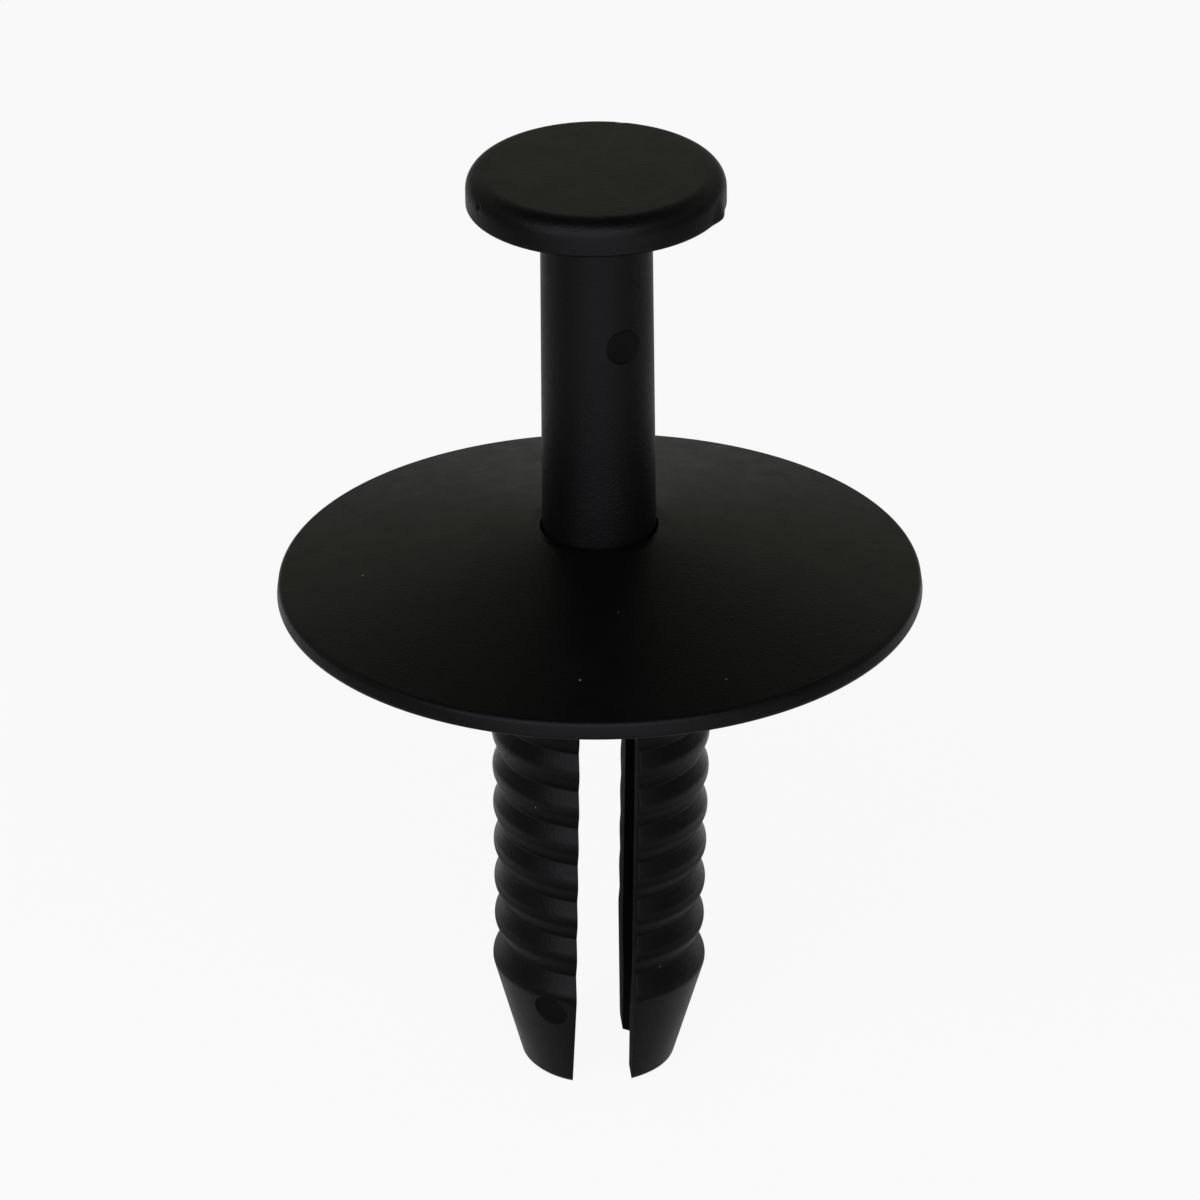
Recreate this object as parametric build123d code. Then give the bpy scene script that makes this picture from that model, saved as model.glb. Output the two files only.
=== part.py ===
from build123d import *
import os
from math import cos, radians, sin, tan

# Plastic push rivet: a split, ribbed shank under a shallow umbrella flange, and the drive pin
# that is pushed down its bore. Each of the two pieces is a single moulding. Millimetres.
# Origin: on the axis, in the plane where the flange's rim seats. +Z points at the pin's head,
# and the slot between the legs runs through along Y, so the legs stand at +X and -X.

# --- Driving dimensions: flange -------------------------------------------------------------
FLANGE_RADIUS = 15.0
RIM_THICKNESS = 0.85          # height of the flange's outer edge
RIM_TOP_ROUND = 0.3
RIM_SEAT_ROUND = 0.2
SEAT_WIDTH = 0.9              # flat ring under the rim that meets the panel
FLANGE_ANGLE = 12.4           # degrees that the umbrella rises towards the hub
HUB_RADIUS = 3.2              # flat top of the hub round the pin
HUB_EDGE_ROUND = 1.2

# --- Driving dimensions: shank --------------------------------------------------------------
NECK_RADIUS = 4.965            # smooth length that stands in the panel's hole
NECK_LENGTH = 2.6
ROOT_ROUND = 1.6              # under the flange, where the neck begins
RIB_COUNT = 8
RIB_PITCH = 1.97
RIB_RISE = 0.28               # of the first rib's crest above the neck, before it is rounded
RIB_DRAFT = 1.03              # degrees that the ribs taper towards the tip
RIB_DEPTH = 0.45              # crest to valley, before both are rounded
CREST_ROUND = 0.6
VALLEY_ROUND = 0.35
SHOULDER_RISE = 0.09          # of the last and largest bulge above the neck, before its round
SHOULDER_ROUND = 0.7
SHOULDER_STEP = 2.08          # from the last rib's crest down to the shoulder
TIP_ANGLE = 16.0              # half angle of the tapered tip, degrees
TIP_LENGTH = 5.33            # from the shoulder down to the ends of the legs
TIP_END_ROUND = 0.45
SLOT_WIDTH = 2.8
SLOT_TOP_GAP = 0.45            # solid collar left between the neck and the slot

# --- Driving dimensions: drive pin ----------------------------------------------------------
HEAD_RADIUS = 5.97
HEAD_EDGE = 1.83               # height of the head's side wall
HEAD_TOP_ROUND = 0.82
HEAD_LOWER_ROUND = 0.45
HEAD_DROP = 0.78              # how far the head's underside slopes down to the shaft
HEAD_ROOT_ROUND = 0.25
SHAFT_RADIUS = 2.64           # in the hub and below it
SHAFT_RADIUS_AT_HEAD = 2.57
PIN_STROKE = 15.37            # how far the pin stands out of its seated place
NOSE_LENGTH = 2.6
NOSE_END_RADIUS = 1.75
NOSE_END_ROUND = 0.35
NOSE_TO_TIP = 2.85            # from the seated pin's nose down to the ends of the legs

# --- Driving dimensions: bore and marks -----------------------------------------------------
RUNNING_CLEARANCE = 0.05      # round the shaft, in the bore
SEATED_CLEARANCE = 0.05       # under the head when the pin is home
BORE_MOUTH_CHAMFER = 0.06
BORE_TIP_RADIUS = 2.0         # where the bore narrows between the tips
EJECTOR_MARK_RADIUS = 0.86
EJECTOR_MARK_DEPTH = 0.13
PIN_MARK_BELOW_HEAD = 5.3     # centre of the mark, below the root of the head
PIN_MARK_AZIMUTH = 23.0       # degrees round from -Y, towards +X
LEG_MARK_ABOVE_END = 4.4      # centre of the mark, above the ends of the legs
LEG_MARK_AZIMUTH = -29.8

# --- Places worked out from them ------------------------------------------------------------
umbrella_rise = tan(radians(FLANGE_ANGLE))
hub_top = RIM_THICKNESS + (FLANGE_RADIUS - HUB_RADIUS) * umbrella_rise
seat_inner_radius = FLANGE_RADIUS - SEAT_WIDTH
flank_rise = RIB_DEPTH / (RIB_PITCH / 2)                  # slope of both sides of a rib
first_crest_z = -(NECK_LENGTH + RIB_RISE / flank_rise)
last_crest_z = first_crest_z - (RIB_COUNT - 1) * RIB_PITCH
shoulder_radius = NECK_RADIUS + SHOULDER_RISE
shoulder_z = last_crest_z - SHOULDER_STEP
tip_end_radius = shoulder_radius - TIP_LENGTH * tan(radians(TIP_ANGLE))
legs_end_z = shoulder_z - TIP_LENGTH
slot_top_z = -(NECK_LENGTH + SLOT_TOP_GAP)

bore_radius = SHAFT_RADIUS + RUNNING_CLEARANCE
head_root_z = hub_top + SEATED_CLEARANCE + PIN_STROKE     # where the head meets the shaft
head_edge_z = head_root_z + HEAD_DROP                     # lower edge of the head's side
head_top_z = head_edge_z + HEAD_EDGE
nose_end_z = legs_end_z + NOSE_TO_TIP + PIN_STROKE
nose_start_z = nose_end_z + NOSE_LENGTH

# The bore narrows beside the seated pin's nose, at a slope no steeper than the nose's own.
funnel_top_z = nose_start_z - PIN_STROKE
funnel_slope = (SHAFT_RADIUS - NOSE_END_RADIUS) / NOSE_LENGTH
funnel_end_z = funnel_top_z - (bore_radius - BORE_TIP_RADIUS) / (0.8 * funnel_slope)


def rib_radius(z):
    """Radius of the line through the ribs' unrounded crests at height z."""
    return NECK_RADIUS + RIB_RISE + (z - first_crest_z) * tan(radians(RIB_DRAFT))


def revolved(corners):
    """Solid of revolution about Z from closed outline corners (radius, z, corner round)."""
    points = [(r, 0, z) for r, z, _ in corners]
    rounds = [corner_round for _, _, corner_round in corners]
    outline = FilletPolyline(*points, radius=rounds, close=True)
    return revolve(make_face(outline.edges()), axis=Axis.Z)


def rib_corners():
    """Outline of the ribs, from the neck down to the valley above the shoulder."""
    corners = [(NECK_RADIUS, -NECK_LENGTH, VALLEY_ROUND)]
    for rib in range(RIB_COUNT):
        crest_z = first_crest_z - rib * RIB_PITCH
        drop = SHOULDER_STEP if rib == RIB_COUNT - 1 else RIB_PITCH
        valley_z = crest_z - drop / 2
        corners.append((rib_radius(crest_z), crest_z, CREST_ROUND))
        corners.append((rib_radius(valley_z) - RIB_DEPTH, valley_z, VALLEY_ROUND))
    return corners


def body_corners():
    """Half section of the rivet's body, from the bore's mouth round and back up the bore."""
    underside_at_neck = (seat_inner_radius - NECK_RADIUS) * umbrella_rise
    return [
        (bore_radius + BORE_MOUTH_CHAMFER, hub_top, 0),
        (HUB_RADIUS, hub_top, HUB_EDGE_ROUND),
        (FLANGE_RADIUS, RIM_THICKNESS, RIM_TOP_ROUND),
        (FLANGE_RADIUS, 0, RIM_SEAT_ROUND),
        (seat_inner_radius, 0, 0),
        (NECK_RADIUS, underside_at_neck, ROOT_ROUND),
        *rib_corners(),
        (shoulder_radius, shoulder_z, SHOULDER_ROUND),
        (tip_end_radius, legs_end_z, TIP_END_ROUND),
        (BORE_TIP_RADIUS, legs_end_z, 0),
        (BORE_TIP_RADIUS, funnel_end_z, 0),
        (bore_radius, funnel_top_z, 0),
        (bore_radius, hub_top - BORE_MOUTH_CHAMFER, 0),
    ]


def slot():
    """The through slot that splits the shank into two legs, with a round upper end."""
    end_radius = SLOT_WIDTH / 2
    depth = 3 * shoulder_radius
    straight_top = slot_top_z - end_radius
    length = straight_top - legs_end_z + end_radius
    slot_face = Plane.XZ * Pos(0, straight_top) * (
        Circle(end_radius) + Pos(0, -length / 2) * Rectangle(SLOT_WIDTH, length)
    )
    return extrude(slot_face, amount=depth / 2, both=True)


def ejector_mark(azimuth, z, surface_radius, tilt):
    """Shallow round recess left by an ejector pin, square to a surface of revolution.

    azimuth is counted from -Y towards +X, and tilt is how far the surface leans from
    vertical, in degrees, positive where it faces down.
    """
    turn = radians(azimuth)
    lean = radians(tilt)
    outward = Vector(sin(turn) * cos(lean), -cos(turn) * cos(lean), -sin(lean))
    spot = Vector(surface_radius * sin(turn), -surface_radius * cos(turn), z)
    floor_plane = Plane(origin=spot - outward * EJECTOR_MARK_DEPTH, z_dir=outward)
    return extrude(floor_plane * Circle(EJECTOR_MARK_RADIUS), amount=1.0)


def rivet_body():
    """Flange, hub, neck and the two ribbed legs: one moulding."""
    mark_z = legs_end_z + LEG_MARK_ABOVE_END
    mark_radius = tip_end_radius + LEG_MARK_ABOVE_END * tan(radians(TIP_ANGLE))
    body = revolved(body_corners()) - slot()
    return body - ejector_mark(LEG_MARK_AZIMUTH, mark_z, mark_radius, TIP_ANGLE)


def drive_pin():
    """Flat-topped head, drafted shaft and tapered nose: one moulding, shown raised."""
    corners = [
        (0, head_top_z, 0),
        (HEAD_RADIUS, head_top_z, HEAD_TOP_ROUND),
        (HEAD_RADIUS, head_edge_z, HEAD_LOWER_ROUND),
        (SHAFT_RADIUS_AT_HEAD, head_root_z, HEAD_ROOT_ROUND),
        (SHAFT_RADIUS, hub_top, 0),
        (SHAFT_RADIUS, nose_start_z, NOSE_END_ROUND),
        (NOSE_END_RADIUS, nose_end_z, NOSE_END_ROUND),
        (0, nose_end_z, 0),
    ]
    mark_z = head_root_z - PIN_MARK_BELOW_HEAD
    draft = (SHAFT_RADIUS - SHAFT_RADIUS_AT_HEAD) / (head_root_z - hub_top)
    mark_radius = SHAFT_RADIUS_AT_HEAD + PIN_MARK_BELOW_HEAD * draft
    return revolved(corners) - ejector_mark(PIN_MARK_AZIMUTH, mark_z, mark_radius, 0)


os.makedirs("parts", exist_ok=True)
export_step(rivet_body(), "parts/rivet_body.step")
export_step(drive_pin(), "parts/drive_pin.step")
print(f"hub top {hub_top:.2f}, legs' end {legs_end_z:.2f}, head top {head_top_z:.2f}")
print(f"pin from {nose_end_z:.2f}, bore narrows {funnel_top_z:.2f} to {funnel_end_z:.2f}")
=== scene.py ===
"""Looks of the plastic push rivet: a split, ribbed body and the drive pin raised in its bore.

The sizes in the classes are millimetres and are turned to metres when a mesh is made. The frame
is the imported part's own: the origin is on the axis in the plane where the flange's rim seats,
+Z points at the pin's head, and the slot between the legs runs through along Y.
"""

import logging
import math
from dataclasses import dataclass
from enum import Enum
from typing import Any, Callable, Iterable, Sequence

import bmesh
import bpy
from mathutils import Matrix, Vector


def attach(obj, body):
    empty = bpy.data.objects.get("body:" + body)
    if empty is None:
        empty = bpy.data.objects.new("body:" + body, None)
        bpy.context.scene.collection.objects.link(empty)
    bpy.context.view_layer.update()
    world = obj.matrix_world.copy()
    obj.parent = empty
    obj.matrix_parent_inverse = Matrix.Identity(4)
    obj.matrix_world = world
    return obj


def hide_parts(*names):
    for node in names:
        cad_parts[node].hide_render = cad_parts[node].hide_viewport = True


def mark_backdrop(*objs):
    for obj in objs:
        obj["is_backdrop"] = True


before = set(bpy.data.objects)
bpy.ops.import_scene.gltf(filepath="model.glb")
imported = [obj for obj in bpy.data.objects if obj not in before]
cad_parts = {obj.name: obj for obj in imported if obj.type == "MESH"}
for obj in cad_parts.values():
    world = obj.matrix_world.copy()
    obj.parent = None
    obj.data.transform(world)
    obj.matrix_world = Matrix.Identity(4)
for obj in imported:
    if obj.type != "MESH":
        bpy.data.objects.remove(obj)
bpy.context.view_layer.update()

log = logging.getLogger("push_rivet")

MM = 0.001
COLUMNS = 192                 # faces round a full turn of every moulding
ARC_STEP = math.radians(8.0)  # turn of an outline's corner that one edge takes
MERGE = 1e-4                  # mm, below which two vertices are one
SHARP_ANGLE = math.radians(38)  # between two faces, above which the edge is shaded sharp
FRAME_PIXELS = 1200           # width and height of the picture
FINER_CUTS = 2                # how often an edge near a mark or a blemish is cut


class Side(Enum):
    """The two faces of the rivet that the slot opens to."""

    FRONT = -1
    BACK = 1


# --- Outlines and turned meshes -------------------------------------------------------------


@dataclass(frozen=True)
class Corner:
    """One corner of a half section: its distance from the axis, its height and its round."""

    radius: float
    height: float
    rounding: float = 0.0


def corner_offset(before: Corner, corner: Corner, after: Corner) -> tuple[float, int]:
    """Works out how far from a corner its round starts, and how many edges the round takes.

    Args:
        before: the corner before it on the outline.
        corner: the corner itself.
        after: the corner after it.

    Returns:
        The distance along both sides from the corner to the round's ends, and its edges.
    """
    way_in = Vector((corner.radius - before.radius, corner.height - before.height))
    way_out = Vector((after.radius - corner.radius, after.height - corner.height))
    turn = way_in.angle(way_out)
    return corner.rounding * math.tan(turn / 2), max(3, math.ceil(turn / ARC_STEP))


def half_section(corners: Sequence[Corner], closed: bool) -> bmesh.types.BMesh:
    """Draws an outline in the plane of the front, with its corners rounded.

    Args:
        corners: the outline's corners in order.
        closed: whether the last corner joins the first.

    Returns:
        A bmesh of edges alone, in millimetres.
    """
    bm = bmesh.new()
    verts = [bm.verts.new((0.0, -c.radius, c.height)) for c in corners]
    ends = verts[1:] + verts[:1] if closed else verts[1:]
    for start, end in zip(verts, ends):
        bm.edges.new((start, end))
    count = len(corners)
    for place, (corner, vert) in enumerate(zip(corners, verts)):
        if corner.rounding <= 0:
            continue
        before, after = corners[place - 1], corners[(place + 1) % count]
        offset, segments = corner_offset(before, corner, after)
        bmesh.ops.bevel(bm, geom=[vert], offset=offset, offset_type="OFFSET", segments=segments,
                        profile=0.5, affect="VERTICES", material=-1)
    return bm


def cut_levels(bm: bmesh.types.BMesh, levels: Iterable[float]) -> None:
    """Cuts a mesh or outline at each height, so that it has vertices there."""
    for level in levels:
        bmesh.ops.bisect_plane(bm, geom=bm.verts[:] + bm.edges[:] + bm.faces[:], dist=MERGE,
                               plane_co=(0, 0, level), plane_no=(0, 0, 1))


def turn_outline(bm: bmesh.types.BMesh, angle: float, steps: int) -> None:
    """Spins an outline about Z from the front towards +X, and closes the poles.

    Args:
        bm: the outline's bmesh, which the turned mesh replaces.
        angle: how far it turns, in radians.
        steps: how many faces that takes.
    """
    full_turn = math.isclose(angle, 2 * math.pi)
    bmesh.ops.spin(bm, geom=bm.verts[:] + bm.edges[:], cent=(0, 0, 0), axis=(0, 0, 1),
                   dvec=(0, 0, 0), angle=angle, steps=steps, use_merge=full_turn,
                   use_normal_flip=False, use_duplicate=False)
    bmesh.ops.remove_doubles(bm, verts=bm.verts[:], dist=MERGE)


def smoothstep(low: float, high: float, value: float) -> float:
    """Returns 0 below low, 1 above high and an even curve between them."""
    share = min(1.0, max(0.0, (value - low) / (high - low)))
    return share * share * (3.0 - 2.0 * share)


def refine(bm: bmesh.types.BMesh, centre: Vector, reach: float, cuts: int,
           on_surface: Callable[[Vector], Vector]) -> None:
    """Makes the faces near a point finer, and puts the new vertices on the true surface.

    Args:
        bm: the mesh.
        centre: the point.
        reach: how far round it the faces are cut.
        cuts: how often each of their edges is cut.
        on_surface: moves a point onto the surface that the mesh stands for.
    """
    near = [e for e in bm.edges
            if all((v.co - centre).length < reach for v in e.verts)]
    made = bmesh.ops.subdivide_edges(bm, edges=near, cuts=cuts, use_grid_fill=True)
    for vert in {v for v in made["geom_inner"] if isinstance(v, bmesh.types.BMVert)}:
        vert.co = on_surface(vert.co)


@dataclass(frozen=True)
class PressedMark:
    """Shallow round recess that an ejector pin leaves, square to the surface round it."""

    azimuth: float            # degrees from the front, towards +X
    height: float
    surface_radius: float     # of the moulding, at the mark's centre
    tilt: float = 0.0         # degrees that the surface leans from vertical, facing down
    radius: float = 0.86
    depth: float = 0.13
    edge: float = 0.09        # width of the slope from the surface to the mark's floor
    margin: float = 0.3       # how far beyond it the mesh is made finer

    def outward(self) -> Vector:
        """Returns the direction square to the surface at the mark."""
        turn, lean = math.radians(self.azimuth), math.radians(self.tilt)
        return Vector((math.sin(turn) * math.cos(lean), -math.cos(turn) * math.cos(lean),
                       -math.sin(lean)))

    def centre(self) -> Vector:
        """Returns the mark's centre on the untouched surface."""
        turn = math.radians(self.azimuth)
        return Vector((self.surface_radius * math.sin(turn),
                       -self.surface_radius * math.cos(turn), self.height))

    def press(self, bm: bmesh.types.BMesh, on_surface: Callable[[Vector], Vector]) -> None:
        """Sinks the mark into a mesh, and gives its floor the second finish.

        Args:
            bm: the mesh, in millimetres.
            on_surface: moves a point onto the surface that the mesh stands for.
        """
        centre, outward = self.centre(), self.outward()
        refine(bm, centre, self.radius + self.margin, FINER_CUTS, on_surface)
        for vert in bm.verts:
            offset = vert.co - centre
            height = offset.dot(outward)
            across = (offset - height * outward).length
            if across > self.radius or abs(height) > 1.0:
                continue
            sunk = 1.0 - smoothstep(self.radius - self.edge, self.radius, across)
            floor = min(height, -self.depth)
            vert.co += outward * (floor - height) * sunk
        for face in bm.faces:
            offset = face.calc_center_median() - centre
            height = offset.dot(outward)
            if abs(height) < 0.5 and (offset - height * outward).length < self.radius:
                face.material_index = 1


@dataclass(frozen=True)
class Blemish:
    """Small lump of flash, or a nick, on the edge of a moulding."""

    azimuth: float            # degrees from the front, towards +X
    radius: float             # of its place from the axis
    height: float
    reach: float              # how far it spreads
    rise: float               # how far it stands out; a nick is below 0
    margin: float = 0.25      # how far beyond it the mesh is made finer

    def shape(self, bm: bmesh.types.BMesh) -> None:
        """Raises the lump or sinks the nick.

        Args:
            bm: the mesh, in millimetres, with its normals outwards.
        """
        turn = math.radians(self.azimuth)
        centre = Vector((self.radius * math.sin(turn), -self.radius * math.cos(turn),
                         self.height))
        refine(bm, centre, self.reach + self.margin, FINER_CUTS, lambda point: point)
        bm.normal_update()
        there = [vert for vert in bm.verts if (vert.co - centre).length < self.reach]
        outward = min(there, key=lambda vert: (vert.co - centre).length).normal.copy()
        for vert in there:
            near = 1.0 - smoothstep(0.0, self.reach, (vert.co - centre).length)
            vert.co += outward * self.rise * near


def finished_object(bm: bmesh.types.BMesh, name: str) -> bpy.types.Object:
    """Makes a smooth shaded object of a mesh in millimetres.

    Args:
        bm: the mesh, which is freed.
        name: the object's name.

    Returns:
        The object, at the origin, in metres.
    """
    bmesh.ops.remove_doubles(bm, verts=bm.verts[:], dist=MERGE)
    bmesh.ops.recalc_face_normals(bm, faces=bm.faces[:])
    bmesh.ops.scale(bm, vec=(MM, MM, MM), verts=bm.verts[:])
    mesh = bpy.data.meshes.new(name)
    bm.to_mesh(mesh)
    bm.free()
    mesh.shade_smooth()
    mesh.set_sharp_from_angle(angle=SHARP_ANGLE)
    piece = bpy.data.objects.new(name, mesh)
    bpy.context.scene.collection.objects.link(piece)
    return piece


# --- Finishes -------------------------------------------------------------------------------


def linear(colour: str, alpha: float = 1.0) -> tuple[float, float, float, float]:
    """Turns an sRGB hex colour to the linear values that Blender's sockets take.

    Args:
        colour: the colour, such as "#1a1a1a".
        alpha: its opacity.

    Returns:
        Linear red, green and blue, and the alpha.
    """
    parts = [int(colour[i:i + 2], 16) / 255 for i in (1, 3, 5)]
    red, green, blue = (c / 12.92 if c <= 0.04045 else ((c + 0.055) / 1.055) ** 2.4
                        for c in parts)
    return red, green, blue, alpha


def add_node(tree: bpy.types.NodeTree, kind: str, inputs: dict[str | int, Any] | None = None,
             links: dict[str | int, bpy.types.NodeSocket] | None = None,
             **settings: Any) -> bpy.types.Node:
    """Adds a node, sets it up and links it.

    Args:
        tree: the node tree.
        kind: the node's type, such as "ShaderNodeTexNoise".
        inputs: input sockets and the values they get.
        links: input sockets and the output sockets they are linked from.
        settings: the node's own properties.

    Returns:
        The node.
    """
    node = tree.nodes.new(kind)
    for name, value in settings.items():
        setattr(node, name, value)
    for name, value in (inputs or {}).items():
        node.inputs[name].default_value = value
    for name, socket in (links or {}).items():
        tree.links.new(socket, node.inputs[name])
    return node


@dataclass(frozen=True)
class MouldedNylon:
    """Black nylon, injection moulded in a finely spark-eroded steel mould.

    The black dye leaves almost no colour, so the eye sees the soft reflections of the room on a
    satin skin: a fine grain from the steel, slightly uneven gloss, and a few specks of dust.
    """

    name: str = "moulded_black_nylon"
    colour: str = "#050505"
    worn_colour: str = "#070707"
    gloss_spread: float = 0.33      # roughness
    gloss_change: float = 0.04      # how far the roughness strays
    specular: float = 0.10          # below a bare nylon's own, to suit a brightly lit room
    grain_width: float = 0.13       # mm, drawn coarser than the steel's own so that it shows
    grain_depth: float = 0.022      # mm
    sink_width: float = 5.0         # mm, the skin's slow waves
    sink_depth: float = 0.006
    dust_spacing: float = 2.9       # mm between places where a speck may lie
    dust_radius: float = 0.055
    blotch_width: float = 1.3       # mm, of the uneven gloss and wear
    blotch_range: tuple[float, float] = (0.3, 0.7)      # of the noise, spread over the change
    dust_colour: str = "#6f6e6b"

    def build(self) -> bpy.types.Material:
        """Builds the material.

        Returns:
            The material, ready for a piece's first slot.
        """
        material = bpy.data.materials.new(self.name)
        material.use_nodes = True
        tree = material.node_tree
        tree.nodes.clear()
        place = add_node(tree, "ShaderNodeTexCoord").outputs["Object"]
        millimetres = add_node(tree, "ShaderNodeMapping", {"Scale": (1 / MM,) * 3},
                               {"Vector": place}).outputs["Vector"]
        grain = add_node(tree, "ShaderNodeTexNoise",
                         {"Scale": 1 / self.grain_width, "Detail": 3.0, "Roughness": 0.7},
                         {"Vector": millimetres}).outputs["Fac"]
        sink = add_node(tree, "ShaderNodeTexNoise",
                        {"Scale": 1 / self.sink_width, "Detail": 1.0},
                        {"Vector": millimetres}).outputs["Fac"]
        blotch = add_node(tree, "ShaderNodeTexNoise",
                          {"Scale": 1 / self.blotch_width, "Detail": 4.0, "Roughness": 0.6},
                          {"Vector": millimetres}).outputs["Fac"]
        roughness = add_node(tree, "ShaderNodeMapRange",
                             {"From Min": self.blotch_range[0],
                              "From Max": self.blotch_range[1],
                              "To Min": self.gloss_spread - self.gloss_change,
                              "To Max": self.gloss_spread + self.gloss_change},
                             {"Value": blotch}).outputs["Result"]
        waves = add_node(tree, "ShaderNodeBump",
                         {"Strength": 1.0, "Distance": self.sink_depth * MM},
                         {"Height": sink}).outputs["Normal"]
        skin = add_node(tree, "ShaderNodeBump",
                        {"Strength": 1.0, "Distance": self.grain_depth * MM},
                        {"Height": grain, "Normal": waves}).outputs["Normal"]
        tint = add_node(tree, "ShaderNodeMix",
                        {"A": linear(self.colour), "B": linear(self.worn_colour)},
                        {"Factor": blotch}, data_type="RGBA")
        dusty = self.dust(tree, millimetres)
        colour = add_node(tree, "ShaderNodeMix", {"B": linear(self.dust_colour)},
                          {"Factor": dusty, "A": tint.outputs["Result"]}, data_type="RGBA")
        shader = add_node(tree, "ShaderNodeBsdfPrincipled",
                          {"IOR": 1.5, "Specular IOR Level": self.specular},
                          {"Base Color": colour.outputs["Result"], "Roughness": roughness,
                           "Normal": skin})
        add_node(tree, "ShaderNodeOutputMaterial", None, {"Surface": shader.outputs["BSDF"]})
        return material

    def dust(self, tree: bpy.types.NodeTree,
             millimetres: bpy.types.NodeSocket) -> bpy.types.NodeSocket:
        """Adds the dust: a few tiny specks at uneven places.

        Args:
            tree: the material's tree.
            millimetres: the place on the piece, in millimetres.

        Returns:
            A socket that is 1 on a speck and 0 elsewhere.
        """
        cells = add_node(tree, "ShaderNodeTexVoronoi", {"Scale": 1 / self.dust_spacing},
                         {"Vector": millimetres})
        near = add_node(tree, "ShaderNodeMath",
                        {1: self.dust_radius / self.dust_spacing},
                        {0: cells.outputs["Distance"]}, operation="LESS_THAN")
        return near.outputs[0]


@dataclass(frozen=True)
class PaperWhite:
    """Matt white paper of the floor and of the room, which the camera sees as near white.

    The camera sees the paper's own colour and the part's shadow on it. Other rays meet painted
    shade: grey rings painted round the part's foot, in place of the part's own shadow on the
    floor, which keep the undersides of the ribs dark in their reflections, and a dimmer paper
    further out.
    """

    name: str = "white_paper"
    colour: str = "#d8d8d8"
    # distance from the axis in metres, and the painted shade of the paper there, unseen by the
    # camera
    painted_shade_rings: tuple[tuple[float, float], ...] = (
        (0.009, 0.50), (0.013, 0.25), (0.020, 0.25),
        (0.034, 1.0), (0.052, 0.95), (0.072, 0.33))
    seen_white: float = 0.92        # share of the camera's view that is plain white
    mirrored_white: float = 1.0     # the same share in reflections and through clear things

    def white_share(self, tree: bpy.types.NodeTree, mirrored: float) -> bpy.types.NodeSocket:
        """Adds the share of plain white that each kind of ray sees.

        Args:
            tree: the tree of the floor's material or of the room.
            mirrored: the share in reflections and through clear things.

        Returns:
            A socket with the share, from 0 to 1.
        """
        path = add_node(tree, "ShaderNodeLightPath")
        seen = add_node(tree, "ShaderNodeMath", {1: self.seen_white},
                        {0: path.outputs["Is Camera Ray"]}, operation="MULTIPLY")
        bounced = add_node(tree, "ShaderNodeMath", None,
                           {0: path.outputs["Is Glossy Ray"],
                            1: path.outputs["Is Transmission Ray"]}, operation="MAXIMUM")
        return add_node(tree, "ShaderNodeMath", {1: mirrored},
                        {0: bounced.outputs[0], 2: seen.outputs[0]},
                        operation="MULTIPLY_ADD").outputs[0]

    def build(self) -> bpy.types.Material:
        """Builds the floor's material, which is clear from below.

        Returns:
            The material, ready for the floor's first slot.
        """
        material = bpy.data.materials.new(self.name)
        material.use_nodes = True
        tree = material.node_tree
        tree.nodes.clear()
        place = add_node(tree, "ShaderNodeTexCoord").outputs["Object"]
        level = add_node(tree, "ShaderNodeMapping", {"Scale": (1, 1, 0)}, {"Vector": place})
        reach = add_node(tree, "ShaderNodeVectorMath", None, {0: level.outputs["Vector"]},
                         operation="LENGTH")
        furthest = self.painted_shade_rings[-1][0]
        span = add_node(tree, "ShaderNodeMath", {1: furthest}, {0: reach.outputs["Value"]},
                        operation="DIVIDE")
        # painted shade: the rings darken the paper round the part's foot for all but camera
        # rays, in place of its shadow
        ring = add_node(tree, "ShaderNodeValToRGB", None, {"Fac": span.outputs[0]})
        ring.color_ramp.interpolation = "EASE"
        stops = ring.color_ramp.elements
        for spot, share in self.painted_shade_rings[1:-1]:
            stops.new(spot / furthest)
        for stop, (spot, share) in zip(stops, self.painted_shade_rings):
            stop.position, stop.color = spot / furthest, (share,) * 3 + (1.0,)
        shade = ring.outputs["Color"]
        camera = add_node(tree, "ShaderNodeLightPath").outputs["Is Camera Ray"]
        strength = add_node(tree, "ShaderNodeMix", {"B": 1.0},
                            {"Factor": camera, "A": shade}).outputs["Result"]
        tone = add_node(tree, "ShaderNodeMix", {"Factor": 1.0, "B": linear(self.colour)},
                        {"A": strength}, data_type="RGBA", blend_type="MULTIPLY")
        paper = add_node(tree, "ShaderNodeBsdfDiffuse", None,
                         {"Color": tone.outputs["Result"]})
        white = add_node(tree, "ShaderNodeEmission", {"Color": (1, 1, 1, 1)},
                         {"Strength": strength})
        lit = add_node(tree, "ShaderNodeMixShader", None,
                       {0: self.white_share(tree, self.mirrored_white), 1: paper.outputs[0],
                        2: white.outputs[0]}).outputs[0]
        below = add_node(tree, "ShaderNodeNewGeometry").outputs["Backfacing"]
        clear = add_node(tree, "ShaderNodeBsdfTransparent").outputs[0]
        sheet = add_node(tree, "ShaderNodeMixShader", None, {0: below, 1: lit, 2: clear})
        add_node(tree, "ShaderNodeOutputMaterial", None, {"Surface": sheet.outputs[0]})
        return material


# --- The rivet's two mouldings --------------------------------------------------------------


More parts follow.
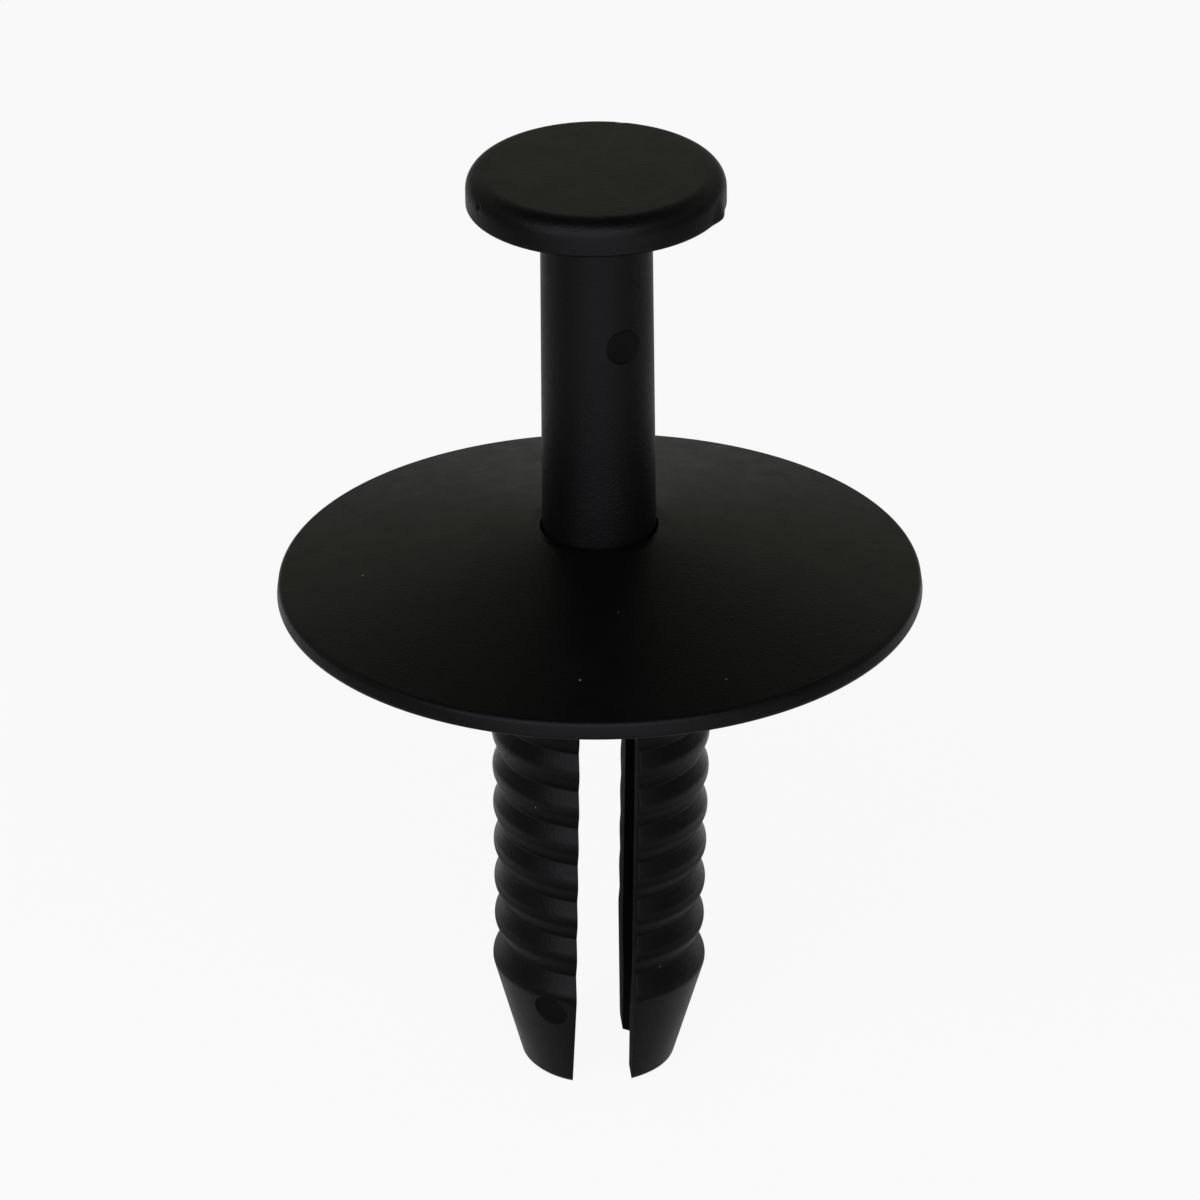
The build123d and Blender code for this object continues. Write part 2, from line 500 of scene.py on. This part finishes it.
@dataclass(frozen=True)
class RivetBody:
    """Umbrella flange, hub, neck and the two ribbed legs: one moulding."""

    flange_radius: float = 15.0
    rim_thickness: float = 0.85
    rim_top_round: float = 0.3
    rim_seat_round: float = 0.2
    rim_draft: float = 8.0        # degrees that the rim's edge leans in towards its top
    seat_width: float = 0.9
    flange_angle: float = 12.4
    hub_radius: float = 3.2
    hub_edge_round: float = 1.2
    neck_radius: float = 4.965
    neck_length: float = 2.552
    root_round: float = 1.6
    rib_count: int = 8
    rib_pitch: float = 1.97
    rib_rise: float = 0.312
    rib_draft: float = 1.03
    rib_depth: float = 0.465
    crest_round: float = 0.85
    valley_round: float = 0.12
    shoulder_rise: float = 0.09
    shoulder_round: float = 0.7
    shoulder_step: float = 2.08
    tip_angle: float = 16.0
    tip_length: float = 5.33
    tip_end_round: float = 0.45
    slot_width: float = 2.8
    slot_top_gap: float = 0.498
    slot_edge_round: float = 0.10
    lean: float = 0.92            # degrees that the legs lean towards -X
    lean_root: float = -3.0       # height where they start to bend
    lean_bend: float = 3.7        # half the height over which they bend
    slot_lean: float = 1.3        # how much further the slot goes than the skin
    skin_radius: float = 3.0      # between the bore's radius and the skin's, anywhere
    slot_edge_angle: float = 30.0   # degrees, above which an edge of the slot is rounded
    bore_radius: float = 2.69
    bore_tip_radius: float = 2.0
    mouth_chamfer: float = 0.06
    funnel_top: float = -18.955
    funnel_end: float = -21.475
    mark_above_end: float = 4.4
    mark_azimuth: float = -33.0
    shoulder_reach: float = 0.3     # how far below the shoulder its round goes

    @property
    def rise(self) -> float:
        """Slope of the umbrella."""
        return math.tan(math.radians(self.flange_angle))

    @property
    def hub_top(self) -> float:
        """Height of the hub's flat top."""
        return self.rim_thickness + (self.flange_radius - self.hub_radius) * self.rise

    @property
    def first_crest(self) -> float:
        """Height of the first rib's crest."""
        return -(self.neck_length + self.rib_rise * self.rib_pitch / 2 / self.rib_depth)

    @property
    def shoulder(self) -> float:
        """Height of the shoulder, where the tip starts."""
        return self.first_crest - (self.rib_count - 1) * self.rib_pitch - self.shoulder_step

    @property
    def legs_end(self) -> float:
        """Height of the legs' lower ends."""
        return self.shoulder - self.tip_length

    @property
    def tip_end_radius(self) -> float:
        """Radius of the tip at its lower end."""
        return (self.neck_radius + self.shoulder_rise
                - self.tip_length * math.tan(math.radians(self.tip_angle)))

    @property
    def slot_top(self) -> float:
        """Height of the slot's round upper end."""
        return -(self.neck_length + self.slot_top_gap)

    def rib_radius(self, height: float) -> float:
        """Returns the radius of the line through the ribs' sharp crests."""
        return (self.neck_radius + self.rib_rise
                + (height - self.first_crest) * math.tan(math.radians(self.rib_draft)))

    def rib_corners(self) -> list[Corner]:
        """Returns the ribs' outline, from the neck to the valley above the shoulder."""
        corners = [Corner(self.neck_radius, -self.neck_length, self.valley_round)]
        for rib in range(self.rib_count):
            crest = self.first_crest - rib * self.rib_pitch
            drop = self.shoulder_step if rib == self.rib_count - 1 else self.rib_pitch
            valley = crest - drop / 2
            corners.append(Corner(self.rib_radius(crest), crest, self.crest_round))
            corners.append(Corner(self.rib_radius(valley) - self.rib_depth, valley,
                                  self.valley_round))
        return corners

    def corners(self) -> list[Corner]:
        """Returns the half section, from the bore's mouth round and back up the bore."""
        seat_inner = self.flange_radius - self.seat_width
        return [
            Corner(self.bore_radius + self.mouth_chamfer, self.hub_top),
            Corner(self.hub_radius, self.hub_top, self.hub_edge_round),
            Corner(self.flange_radius
                   - self.rim_thickness * math.tan(math.radians(self.rim_draft)),
                   self.rim_thickness, self.rim_top_round),
            Corner(self.flange_radius, 0.0, self.rim_seat_round),
            Corner(seat_inner, 0.0),
            Corner(self.neck_radius, (seat_inner - self.neck_radius) * self.rise,
                   self.root_round),
            *self.rib_corners(),
            Corner(self.neck_radius + self.shoulder_rise, self.shoulder, self.shoulder_round),
            Corner(self.tip_end_radius, self.legs_end, self.tip_end_round),
            Corner(self.bore_tip_radius, self.legs_end),
            Corner(self.bore_tip_radius, self.funnel_end),
            Corner(self.bore_radius, self.funnel_top),
            Corner(self.bore_radius, self.hub_top - self.mouth_chamfer),
        ]

    def slot_half_width(self, height: float) -> float:
        """Returns half the slot's width at a height, which is 0 above its round end."""
        half = self.slot_width / 2
        above = height - (self.slot_top - half)
        if above <= 0:
            return half
        return math.sqrt(max(0.0, half * half - above * above))

    def open_slot(self, bm: bmesh.types.BMesh) -> None:
        """Moves the columns of the right half round the axis, so that the slot lies open."""
        for vert in bm.verts:
            radius = math.hypot(vert.co.x, vert.co.y)
            azimuth = math.atan2(abs(vert.co.x), abs(vert.co.y))
            slot_azimuth = math.asin(min(1.0, self.slot_half_width(vert.co.z) / radius))
            azimuth = slot_azimuth + azimuth * (1 - slot_azimuth / (math.pi / 2))
            side = math.copysign(1.0, vert.co.y)
            vert.co.x = radius * math.sin(azimuth)
            vert.co.y = side * radius * math.cos(azimuth)

    def wall_slot(self, bm: bmesh.types.BMesh, side: Side) -> None:
        """Bridges the right leg's skin and its bore with the slot's wall, on one side."""
        chains: list[bmesh.types.BMEdge] = []
        for edge in bm.edges:
            ends = edge.verts
            if not edge.is_boundary or any(v.co.y * side.value < 0 for v in ends):
                continue
            if any(v.co.z > self.slot_top + MERGE for v in ends):
                continue
            outside = [math.hypot(v.co.x, v.co.y) > self.skin_radius for v in ends]
            if outside[0] == outside[1]:
                chains.append(edge)
        bmesh.ops.bridge_loops(bm, edges=chains)

    def slot_edges(self, bm: bmesh.types.BMesh) -> list[bmesh.types.BMEdge]:
        """Returns the edges where the slot's walls meet the skin, the bore and the ends."""
        found = []
        for edge in bm.edges:
            ends = edge.verts
            if any(v.co.z > self.slot_top + MERGE for v in ends) or not edge.is_manifold:
                continue
            if any(abs(abs(v.co.x) - self.slot_half_width(v.co.z)) > 1e-3 for v in ends):
                continue
            if edge.calc_face_angle(0.0) > math.radians(self.slot_edge_angle):
                found.append(edge)
        return found

    def mesh(self) -> bmesh.types.BMesh:
        """Builds the moulding's mesh.

        Returns:
            The bmesh, in millimetres.
        """
        bm = half_section(self.corners(), closed=True)
        half = self.slot_width / 2
        arc = [self.slot_top - half + half * math.sin(math.radians(a))
               for a in (0, 10, 20, 30, 40, 50, 58, 66, 72, 78, 83, 87, 90)]
        mark_rows = [self.legs_end + self.mark_above_end + 0.08 * step
                     for step in range(-14, 15)]
        rows = {round(v.co.z, 5) for v in bm.verts if v.co.z < self.slot_top}
        cut_levels(bm, sorted(rows | set(arc) | set(mark_rows)))
        turn_outline(bm, math.pi, COLUMNS // 2)
        self.open_slot(bm)
        for side in Side:
            self.wall_slot(bm, side)
        bmesh.ops.mirror(bm, geom=bm.verts[:] + bm.edges[:] + bm.faces[:], axis="X",
                         merge_dist=MERGE)
        bmesh.ops.remove_doubles(bm, verts=bm.verts[:], dist=MERGE)
        bmesh.ops.recalc_face_normals(bm, faces=bm.faces[:])
        bmesh.ops.bevel(bm, geom=self.slot_edges(bm), offset=self.slot_edge_round,
                        offset_type="OFFSET", segments=3, profile=0.5, affect="EDGES",
                        clamp_overlap=True, material=-1)
        mark = PressedMark(self.mark_azimuth, self.legs_end + self.mark_above_end,
                           self.tip_end_radius + self.mark_above_end
                           * math.tan(math.radians(self.tip_angle)), self.tip_angle)
        mark.press(bm, self.on_tip)
        for face in bm.faces:
            if all(self.is_cored(vert.co) for vert in face.verts):
                face.material_index = 1
        self.lean_legs(bm)
        return bm

    def is_cored(self, point: Vector) -> bool:
        """Tells whether a point lies on the bore or on the slot's walls."""
        if math.hypot(point.x, point.y) < self.bore_radius + 1e-3:
            return point.z < self.hub_top - 2 * self.mouth_chamfer
        return (point.z < self.slot_top + MERGE
                and abs(point.x) < self.slot_half_width(point.z) + 1e-3)

    def lean_legs(self, bm: bmesh.types.BMesh) -> None:
        """Bends the legs a little to one side below their root, and keeps the bore straight."""
        slope = math.tan(math.radians(self.lean))
        half = self.slot_width / 2
        for vert in bm.verts:
            x, y, height = vert.co
            below = max(0.0, self.lean_root - height)
            bent = min(1.0, below / (2 * self.lean_bend))
            shift = slope * (below - self.lean_bend if bent == 1.0
                             else below * below / (4 * self.lean_bend))
            radius = math.hypot(x, y)
            if radius > self.bore_radius + 0.2:
                by_slot = 1.0 - smoothstep(half, 3.2, abs(x))
                vert.co.x -= shift * (1.0 + (self.slot_lean - 1.0) * by_slot)
                vert.co.z -= slope * bent * x
            elif radius > half:
                by_slot = min(1.0, max(0.0, (radius - abs(x)) / (radius - half)))
                vert.co.x -= shift * self.slot_lean * by_slot
                vert.co.y = math.copysign(math.sqrt(max(0.0, radius ** 2 - vert.co.x ** 2)), y)

    def on_tip(self, point: Vector) -> Vector:
        """Moves a point near the leg's mark onto the tip's cone, below the shoulder's round."""
        if point.z > self.shoulder - self.shoulder_reach:
            return point
        radius = (self.tip_end_radius + (point.z - self.legs_end)
                  * math.tan(math.radians(self.tip_angle)))
        scale = radius / math.hypot(point.x, point.y)
        return Vector((point.x * scale, point.y * scale, point.z))

    def build(self, skin: bpy.types.Material, cored: bpy.types.Material) -> bpy.types.Object:
        """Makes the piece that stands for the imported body.

        Args:
            skin: the finish of the outside.
            cored: the finish of the bore, of the slot's walls and of the mark.

        Returns:
            The piece.
        """
        piece = finished_object(self.mesh(), "rivet_body_moulding")
        piece.data.materials.append(skin)
        piece.data.materials.append(cored)
        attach(piece, "rivet_body")
        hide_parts("rivet_body")
        return piece


@dataclass(frozen=True)
class DrivePin:
    """Flat-topped head, drafted shaft and tapered nose: one moulding, shown raised."""

    head_radius: float = 5.95
    head_edge: float = 1.67
    head_top_round: float = 0.90
    head_lower_round: float = 0.14
    head_drop: float = 0.94
    head_root_round: float = 0.25
    shaft_radius: float = 2.64
    shaft_radius_at_head: float = 2.57
    hub_top: float = 3.444
    head_root: float = 18.864
    nose_end: float = -6.185
    nose_length: float = 2.6
    nose_end_radius: float = 1.75
    nose_end_round: float = 0.35
    mark_below_head: float = 5.3
    mark_azimuth: float = 23.0
    blemishes: tuple[Blemish, ...] = (
        Blemish(66.0, 5.95, 19.95, 0.95, 0.15), Blemish(-69.0, 5.95, 20.80, 0.22, -0.10),
        Blemish(163.0, 5.30, 21.40, 0.30, -0.06))

    def corners(self) -> list[Corner]:
        """Returns the half section, from the head's top down to the nose."""
        edge = self.head_root + self.head_drop
        top = edge + self.head_edge
        return [
            Corner(0.0, top),
            Corner(self.head_radius, top, self.head_top_round),
            Corner(self.head_radius, edge, self.head_lower_round),
            Corner(self.shaft_radius_at_head, self.head_root, self.head_root_round),
            Corner(self.shaft_radius, self.hub_top),
            Corner(self.shaft_radius, self.nose_end + self.nose_length, self.nose_end_round),
            Corner(self.nose_end_radius, self.nose_end, self.nose_end_round),
            Corner(0.0, self.nose_end),
        ]

    def shaft_radius_at(self, height: float) -> float:
        """Returns the shaft's radius at a height above the hub."""
        share = (self.head_root - height) / (self.head_root - self.hub_top)
        return (self.shaft_radius_at_head
                + (self.shaft_radius - self.shaft_radius_at_head) * share)

    def on_shaft(self, point: Vector) -> Vector:
        """Moves a point near the shaft's mark onto the shaft."""
        scale = self.shaft_radius_at(point.z) / math.hypot(point.x, point.y)
        return Vector((point.x * scale, point.y * scale, point.z))

    def mesh(self) -> bmesh.types.BMesh:
        """Builds the moulding's mesh.

        Returns:
            The bmesh, in millimetres.
        """
        bm = half_section(self.corners(), closed=False)
        mark_height = self.head_root - self.mark_below_head
        cut_levels(bm, [mark_height + 0.075 * step for step in range(-18, 19)])
        turn_outline(bm, 2 * math.pi, COLUMNS)
        bmesh.ops.recalc_face_normals(bm, faces=bm.faces[:])
        mark = PressedMark(self.mark_azimuth, mark_height, self.shaft_radius_at(mark_height))
        mark.press(bm, self.on_shaft)
        for blemish in self.blemishes:
            blemish.shape(bm)
        return bm

    def build(self, skin: bpy.types.Material, pressed: bpy.types.Material) -> bpy.types.Object:
        """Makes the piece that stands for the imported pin.

        Args:
            skin: the finish of the outside.
            pressed: the finish of the ejector's mark.

        Returns:
            The piece.
        """
        piece = finished_object(self.mesh(), "drive_pin_moulding")
        piece.data.materials.append(skin)
        piece.data.materials.append(pressed)
        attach(piece, "drive_pin")
        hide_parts("drive_pin")
        return piece


# --- Studio ---------------------------------------------------------------------------------


@dataclass(frozen=True)
class Viewpoint:
    """The camera: a long lens that looks down on the flange."""

    azimuth: float = -4.7           # degrees round from the front, towards +X
    elevation: float = 27.08
    roll: float = -0.546            # degrees; below 0 the part seems to lean to the left
    distance: float = 450.0         # mm from the origin along the line of sight
    focal_pixels: float = 9699.0    # in a frame of FRAME_PIXELS
    origin_right: float = -0.2      # where the origin falls in that frame, from its middle
    origin_up: float = 9.8

    def build(self) -> bpy.types.Object:
        """Makes the camera and gives it to the scene.

        Returns:
            The camera's object.
        """
        turn, tip = math.radians(self.azimuth), math.radians(self.elevation)
        back = Vector((math.sin(turn) * math.cos(tip), -math.cos(turn) * math.cos(tip),
                       math.sin(tip)))
        level = Vector((0, 0, 1)).cross(back).normalized()
        raised = back.cross(level)
        lean = -math.radians(self.roll)
        right = level * math.cos(lean) - raised * math.sin(lean)
        up = level * math.sin(lean) + raised * math.cos(lean)
        scale = self.distance / self.focal_pixels
        spot = (back * self.distance - right * self.origin_right * scale
                - up * self.origin_up * scale)
        data = bpy.data.cameras.new("viewpoint")
        data.sensor_fit, data.sensor_width = "HORIZONTAL", 36.0
        data.lens = self.focal_pixels * data.sensor_width / FRAME_PIXELS
        data.clip_start, data.clip_end = 0.01, 20.0
        camera = bpy.data.objects.new("viewpoint", data)
        axes = Matrix((right, up, back)).transposed().to_4x4()
        camera.matrix_world = Matrix.Translation(spot * MM) @ axes
        bpy.context.scene.collection.objects.link(camera)
        bpy.context.scene.camera = camera
        return camera


@dataclass(frozen=True)
class SoftLamp:
    """A large soft panel of light: a window, or a bright card on the bench."""

    name: str
    spot: tuple[float, float, float]        # metres
    size: tuple[float, float]
    watts: float
    colour: str = "#ffffff"
    facing: tuple[float, float, float] | None = None    # None aims it at the part

    def build(self) -> bpy.types.Object:
        """Makes the lamp, which the camera doesn't see."""
        data = bpy.data.lights.new(self.name, "AREA")
        data.shape = "RECTANGLE"
        data.size, data.size_y = self.size
        data.energy = self.watts
        data.color = linear(self.colour)[:3]
        lamp = bpy.data.objects.new(self.name, data)
        lamp.location = self.spot
        back = -Vector(self.facing) if self.facing else Vector(self.spot)
        lamp.rotation_euler = back.to_track_quat("Z", "Y").to_euler()
        lamp.visible_camera = False
        bpy.context.scene.collection.objects.link(lamp)
        return lamp


@dataclass(frozen=True)
class Studio:
    """White floor, a soft window, two bench cards, pale walls and a dark ceiling."""

    floor_height: float
    floor_radius: float = 1.2
    room_colour: str = "#fffdec"
    wall_light: float = 0.10
    wall_top_light: float = 0.50
    cove_light: float = 0.14
    ceiling_light: float = 0.06
    mirrored_room: float = 0.02     # share of plain white that reflections find in the room
    wall_top: float = 0.44          # places on the ramp from straight ahead to straight up
    cove: float = 0.74
    paper: PaperWhite = PaperWhite()
    lamps: tuple[SoftLamp, ...] = (
        SoftLamp("window", (-0.104, -0.387, 0.204), (0.81, 0.46), 2.90, "#f3eeff"),
        SoftLamp("bench_in_front", (0.0, -0.200, -0.0235), (0.26, 0.26), 0.32, "#f3f0ff",
                 facing=(0.0, 0.0, 1.0)),
        SoftLamp("bench_behind", (0.03, 0.160, -0.0235), (0.34, 0.18), 0.03, "#ffffff",
                 facing=(0.0, 0.0, 1.0)),
    )

    def floor(self) -> bpy.types.Object:
        """Makes the floor, one round sheet of paper."""
        bm = bmesh.new()
        bmesh.ops.create_circle(bm, cap_ends=True, segments=96, radius=self.floor_radius,
                                matrix=Matrix.Translation((0, 0, self.floor_height)))
        mesh = bpy.data.meshes.new("studio_floor")
        bm.to_mesh(mesh)
        bm.free()
        floor = bpy.data.objects.new("studio_floor", mesh)
        bpy.context.scene.collection.objects.link(floor)
        floor.data.materials.append(self.paper.build())
        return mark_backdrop(floor)

    def room(self) -> None:
        """Sets the light of the room: pale walls all round and a dark ceiling."""
        world = bpy.data.worlds.new("pale_room")
        world.use_nodes = True
        tree = world.node_tree
        tree.nodes.clear()
        way = add_node(tree, "ShaderNodeTexCoord").outputs["Generated"]
        height = add_node(tree, "ShaderNodeSeparateXYZ", None, {0: way}).outputs["Z"]
        ramp = add_node(tree, "ShaderNodeValToRGB", None, {"Fac": height})
        ramp.color_ramp.interpolation = "EASE"
        ends = ramp.color_ramp.elements
        ends[0].position, ends[0].color = 0.0, (self.wall_light,) * 3 + (1.0,)
        ends[1].position, ends[1].color = 1.0, (self.ceiling_light,) * 3 + (1.0,)
        for position, value in ((self.wall_top, self.wall_top_light),
                                (self.cove, self.cove_light)):
            ends.new(position).color = (value,) * 3 + (1.0,)
        tint = add_node(tree, "ShaderNodeMix", {"Factor": 1.0, "B": linear(self.room_colour)},
                        {"A": ramp.outputs["Color"]}, data_type="RGBA", blend_type="MULTIPLY")
        room = add_node(tree, "ShaderNodeBackground", {"Strength": 1.0},
                        {"Color": tint.outputs["Result"]})
        white = add_node(tree, "ShaderNodeBackground", {"Color": (1, 1, 1, 1),
                                                        "Strength": 1.0})
        mixed = add_node(tree, "ShaderNodeMixShader", None,
                         {0: self.paper.white_share(tree, self.mirrored_room),
                          1: room.outputs[0], 2: white.outputs[0]})
        add_node(tree, "ShaderNodeOutputWorld", None, {"Surface": mixed.outputs[0]})
        bpy.context.scene.world = world

    def build(self) -> None:
        """Makes the floor, the lamps and the room."""
        self.floor()
        self.room()
        for lamp in self.lamps:
            lamp.build()


def report(piece: bpy.types.Object) -> None:
    """Logs a piece's name, faces and height range."""
    heights = [v.co.z for v in piece.data.vertices]
    log.info("%s: %d faces, %d triangles, from %.2f to %.2f mm high", piece.name,
             len(piece.data.polygons),
             sum(len(p.vertices) - 2 for p in piece.data.polygons),
             min(heights) / MM, max(heights) / MM)


def main() -> None:
    """Builds the camera, the studio and the two mouldings, and notes their sizes."""
    logging.basicConfig(level=logging.INFO, format="%(name)s: %(message)s")
    bpy.context.scene.view_settings.view_transform = "Standard"
    Viewpoint().build()
    body, pin = RivetBody(), DrivePin()
    Studio(floor_height=body.legs_end * MM).build()
    skin = MouldedNylon().build()
    cored = MouldedNylon(name="nylon_off_the_core", colour="#0e0e0e", gloss_spread=0.75,
                         specular=0.06).build()
    report(body.build(skin, cored))
    report(pin.build(skin, cored))


if __name__ == "__main__":
    main()
